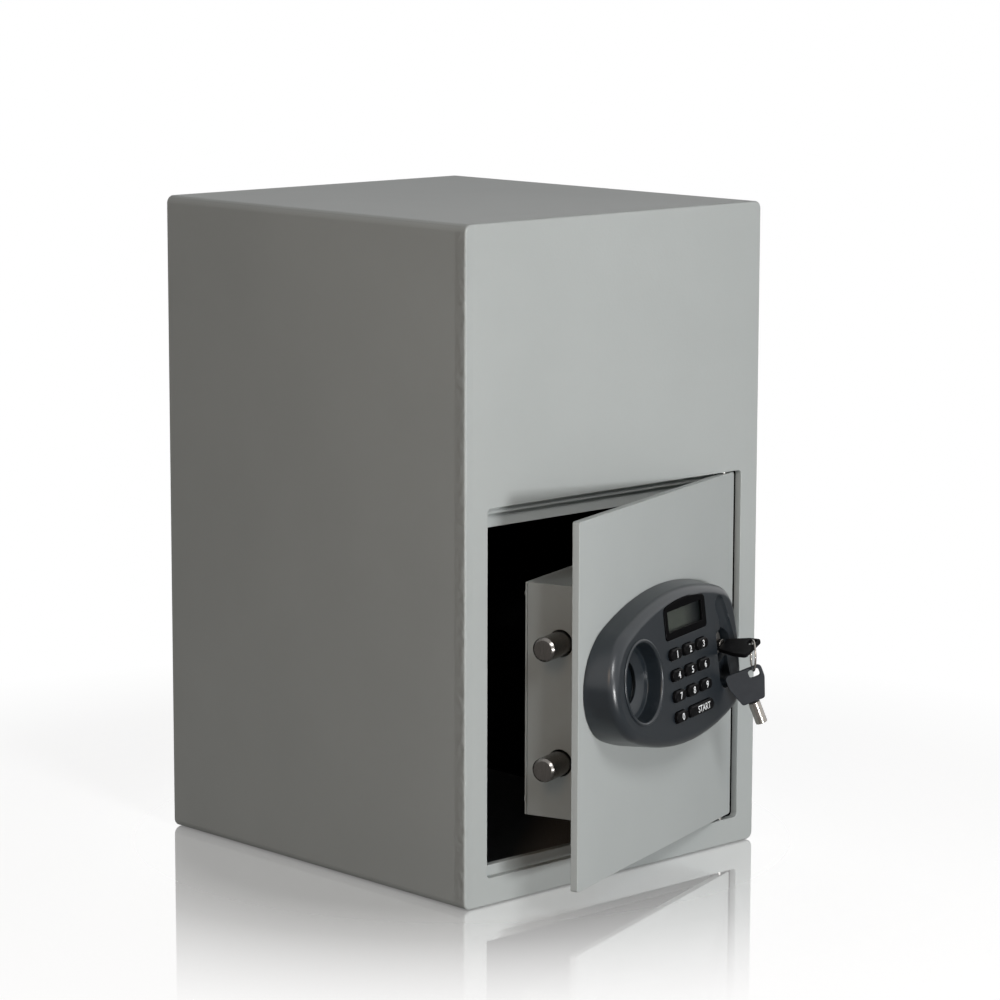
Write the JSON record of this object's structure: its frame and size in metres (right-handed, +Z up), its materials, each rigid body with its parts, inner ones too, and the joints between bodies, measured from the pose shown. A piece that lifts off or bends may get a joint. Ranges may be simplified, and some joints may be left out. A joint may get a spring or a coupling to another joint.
{
  "type": "deposit safe",
  "caption": "Floor-standing grey steel deposit safe with hinged front door, moulded electronic keypad lock, motor bolts, override key and rear deposit slot.",
  "frame": {"origin": "middle of the base, on the floor", "axes": "+Z up, -Y out of the front with the door, +X to the hinge side"},
  "size_m": [0.308, 0.4368, 0.5],
  "materials": {
    "paint": "grey powder coat, satin, faint orange peel",
    "steel": "plain steel",
    "bolt_steel": "turned steel, bright end",
    "key_nickel": "nickel plate, slightly worn",
    "zinc": "zinc-plated sheet",
    "charcoal_plastic": "charcoal satin moulding",
    "black_plastic": "black moulding",
    "black_gloss": "gloss black frame",
    "key_plastic": "black keys with white legends",
    "lens_glass": "clear window",
    "display": "grey-green liquid crystal panel, blank",
    "board": "green circuit board",
    "felt": "dark felt mat",
    "brass": "cut brass",
    "cell": "plain battery sleeve",
    "red_plastic": "red push button"
  },
  "bodies": {
    "cabinet": {"body_wrap": "paint", "front_plate": "paint", "back_plate": "paint", "latch_stop": "paint", "sill_stop": "paint", "head_stop": "paint", "slot_collar": "steel", "chute_plate": "zinc", "baffle_plate": "zinc", "flap_bracket": "zinc", "flap_rod": "steel", "floor_mat": "felt"},
    "door": {"door_plate": "paint", "hinge_pin_lower": "steel", "hinge_pin_upper": "steel", "lock_case": "paint", "lock_case_cover": "paint", "bolt_guide": "zinc", "gear_motor": "steel", "gearbox": "charcoal_plastic", "battery_tray": "black_plastic", "battery_1": "cell", "battery_2": "cell", "battery_3": "cell", "battery_4": "cell", "keypad_housing": "charcoal_plastic", "grip_cup": "charcoal_plastic", "lcd_bezel": "black_gloss", "lcd_lens": "lens_glass", "lcd_panel": "display", "circuit_board": "board", "lock_barrel": "steel", "lock_nut": "zinc"},
    "bolts": {"bolt_bar": "zinc", "bolt_upper": "bolt_steel", "bolt_lower": "bolt_steel"},
    "pinion": {"drive_pinion": "brass"},
    "lock_key": {"lock_plug": "steel", "lock_lever": "zinc", "override_key_head": "black_plastic", "override_key_shank": "key_nickel"},
    "ring": {"key_ring": "key_nickel"},
    "spare": {"spare_key_head": "black_plastic", "spare_key_shank": "key_nickel"},
    "flap": {"deposit_flap": "zinc"},
    "lid": {"battery_lid": "black_plastic"},
    "reset": {"reset_button": "red_plastic"},
    "key_0": {"key_0": "key_plastic"},
    "key_1": {"key_1": "key_plastic"},
    "key_2": {"key_2": "key_plastic"},
    "key_3": {"key_3": "key_plastic"},
    "key_4": {"key_4": "key_plastic"},
    "key_5": {"key_5": "key_plastic"},
    "key_6": {"key_6": "key_plastic"},
    "key_7": {"key_7": "key_plastic"},
    "key_8": {"key_8": "key_plastic"},
    "key_9": {"key_9": "key_plastic"},
    "key_start": {"key_start": "key_plastic"}
  },
  "joints": [
    {"name": "door_swing", "type": "hinge", "parent": "cabinet", "child": "door", "pos_m": [0.119, -0.16615, 0.158], "axis": [0, 0, 1], "range_deg": [-18.4, 86.6]},
    {"name": "bolt_throw", "type": "slide", "parent": "door", "child": "bolts", "axis": [-0.9489, -0.3156, 0], "range_m": [0, 0.014]},
    {"name": "pinion_turn", "type": "hinge", "parent": "door", "child": "pinion", "pos_m": [-0.01223, -0.17877, 0.1841], "axis": [0.3156, -0.9489, 0], "range_deg": [-100.3, 0]},
    {"name": "key_turn", "type": "hinge", "parent": "door", "child": "lock_key", "pos_m": [0.06961, -0.18558, 0.171], "axis": [-0.3156, 0.9489, 0], "range_deg": [-90, 0]},
    {"name": "ring_swing", "type": "hinge", "parent": "lock_key", "child": "ring", "pos_m": [0.08563, -0.22976, 0.16524], "axis": [0.7815, -0.6239, 0], "range_deg": [-20, 0]},
    {"name": "spare_swing", "type": "hinge", "parent": "ring", "child": "spare", "pos_m": [0.08563, -0.22976, 0.15384], "axis": [0.6239, 0.7815, 0], "range_deg": [-20, 5]},
    {"name": "flap_swing", "type": "hinge", "parent": "cabinet", "child": "flap", "pos_m": [0, 0.147, 0.4544], "axis": [-1, 0, 0], "range_deg": [0, 65]},
    {"name": "lid_slide", "type": "slide", "parent": "door", "child": "lid", "axis": [0.9489, 0.3156, 0], "range_m": [0, 0.014]},
    {"name": "reset_press", "type": "slide", "parent": "door", "child": "reset", "axis": [0.3156, -0.9489, 0], "range_m": [0, 0.0015], "stiffness_N_per_m": 300},
    {"name": "key_0_press", "type": "slide", "parent": "door", "child": "key_0", "axis": [0.3134, -0.9421, 0.1191], "range_m": [-0.0012, 0], "stiffness_N_per_m": 300},
    {"name": "key_1_press", "type": "slide", "parent": "door", "child": "key_1", "axis": [0.3134, -0.9421, 0.1191], "range_m": [-0.0012, 0], "stiffness_N_per_m": 300},
    {"name": "key_2_press", "type": "slide", "parent": "door", "child": "key_2", "axis": [0.3134, -0.9421, 0.1191], "range_m": [-0.0012, 0], "stiffness_N_per_m": 300},
    {"name": "key_3_press", "type": "slide", "parent": "door", "child": "key_3", "axis": [0.3134, -0.9421, 0.1191], "range_m": [-0.0012, 0], "stiffness_N_per_m": 300},
    {"name": "key_4_press", "type": "slide", "parent": "door", "child": "key_4", "axis": [0.3134, -0.9421, 0.1191], "range_m": [-0.0012, 0], "stiffness_N_per_m": 300},
    {"name": "key_5_press", "type": "slide", "parent": "door", "child": "key_5", "axis": [0.3134, -0.9421, 0.1191], "range_m": [-0.0012, 0], "stiffness_N_per_m": 300},
    {"name": "key_6_press", "type": "slide", "parent": "door", "child": "key_6", "axis": [0.3134, -0.9421, 0.1191], "range_m": [-0.0012, 0], "stiffness_N_per_m": 300},
    {"name": "key_7_press", "type": "slide", "parent": "door", "child": "key_7", "axis": [0.3134, -0.9421, 0.1191], "range_m": [-0.0012, 0], "stiffness_N_per_m": 300},
    {"name": "key_8_press", "type": "slide", "parent": "door", "child": "key_8", "axis": [0.3134, -0.9421, 0.1191], "range_m": [-0.0012, 0], "stiffness_N_per_m": 300},
    {"name": "key_9_press", "type": "slide", "parent": "door", "child": "key_9", "axis": [0.3134, -0.9421, 0.1191], "range_m": [-0.0012, 0], "stiffness_N_per_m": 300},
    {"name": "key_start_press", "type": "slide", "parent": "door", "child": "key_start", "axis": [0.3134, -0.9421, 0.1191], "range_m": [-0.0012, 0], "stiffness_N_per_m": 300}
  ],
  "couplings": [
    {"joint": "pinion_turn", "follows": "bolt_throw", "rad_per_m": -125}
  ]
}
